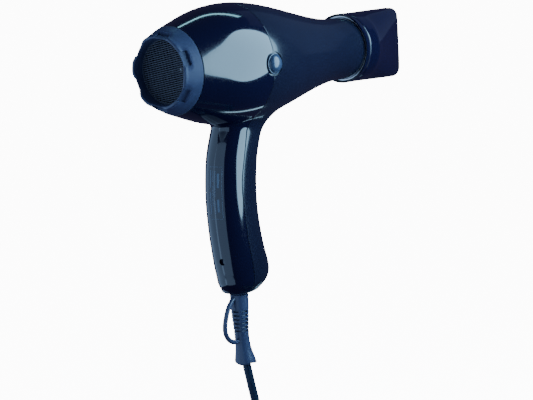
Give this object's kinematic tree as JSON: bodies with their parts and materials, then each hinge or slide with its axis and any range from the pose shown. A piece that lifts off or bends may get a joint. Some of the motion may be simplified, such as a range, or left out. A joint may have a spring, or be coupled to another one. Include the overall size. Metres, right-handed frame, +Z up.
{
  "type": "travel hair dryer",
  "caption": "Compact hair dryer with a curved handle, crown-shaped intake cap, slotted concentrator nozzle, hang loop and mains lead with a two-pin plug.",
  "frame": {"origin": "middle of the handle, where the hand holds it", "axes": "+X along the barrel towards the outlet, +Z up along the handle towards the barrel, +Y to the left of someone looking along +X"},
  "size_m": [0.2623, 0.1717, 0.3282],
  "materials": {
    "gloss_navy": "high gloss, moulded",
    "gloss_slate": "high gloss, moulded",
    "satin_blue_grey": "satin",
    "black_plastic": "fine matt",
    "white_plastic": "fine matt",
    "mica": "pressed mica sheet",
    "steel": "plated",
    "cord_rubber": "satin flexible sheath",
    "wire_brown": "insulation",
    "wire_blue": "insulation"
  },
  "bodies": {
    "housing": {"rear_shell": "gloss_navy", "front_shell": "gloss_slate", "badge_left": "satin_blue_grey", "badge_right": "satin_blue_grey", "handle_screw": "steel", "fan_duct": "black_plastic", "motor_can": "steel", "motor_end_cap": "white_plastic", "heat_shield": "mica", "mica_board_upright": "mica", "mica_board_left": "mica", "mica_board_right": "mica", "heater_coil_rear": "steel", "heater_coil_front": "steel", "thermostat": "steel", "thermal_fuse": "white_plastic", "outlet_grille": "black_plastic", "switch_bezel": "black_plastic", "button_spring": "steel", "switch_block": "white_plastic", "noise_capacitor": "wire_blue", "rectifier": "black_plastic", "strain_relief": "satin_blue_grey", "cord_entry": "cord_rubber", "cord_clamp": "black_plastic", "clamp_screw_rear": "steel", "clamp_screw_front": "steel", "wire_brown": "wire_brown", "wire_blue": "wire_blue", "cord": "cord_rubber", "cord_tail": "cord_rubber", "cord_coil": "cord_rubber", "cord_tie": "black_plastic", "plug_body": "cord_rubber", "plug_pin_left": "steel", "plug_pin_right": "steel"},
    "intake": {"intake_cap": "satin_blue_grey", "intake_mesh": "black_plastic"},
    "rotor": {"fan": "black_plastic", "motor_shaft": "steel"},
    "nozzle_clip": {"nozzle_clip_ring": "steel"},
    "nozzle": {"concentrator_nozzle": "gloss_navy"},
    "speed_switch": {"speed_rocker": "satin_blue_grey"},
    "heat_switch": {"heat_rocker": "satin_blue_grey"},
    "cold_shot": {"cold_shot_button": "satin_blue_grey"}
  },
  "joints": [
    {"name": "intake_cap_pull", "type": "slide", "parent": "housing", "child": "intake", "axis": [-1, 0, 0], "range_m": [0, 0.014]},
    {"name": "fan_spin", "type": "hinge", "parent": "housing", "child": "rotor", "pos_m": [-0.0365, 0, 0.1], "axis": [1, 0, 0], "continuous": true},
    {"name": "nozzle_pull", "type": "slide", "parent": "housing", "child": "nozzle_clip", "axis": [1, 0, 0], "range_m": [0, 0.02]},
    {"name": "nozzle_turn", "type": "hinge", "parent": "nozzle_clip", "child": "nozzle", "pos_m": [0.1301, 0, 0.1], "axis": [1, 0, 0], "continuous": true},
    {"name": "speed_rocker_tilt", "type": "hinge", "parent": "housing", "child": "speed_switch", "pos_m": [0.0136, 0, 0.022], "axis": [0, 1, 0], "range_deg": [-8, 8]},
    {"name": "heat_rocker_tilt", "type": "hinge", "parent": "housing", "child": "heat_switch", "pos_m": [0.0136, 0, 0.006], "axis": [0, 1, 0], "range_deg": [-8, 8]},
    {"name": "cold_shot_press", "type": "slide", "parent": "housing", "child": "cold_shot", "axis": [-1, 0, 0], "range_m": [0, 0.0012], "stiffness_N_per_m": 300, "deforming": ["button_spring"]}
  ]
}
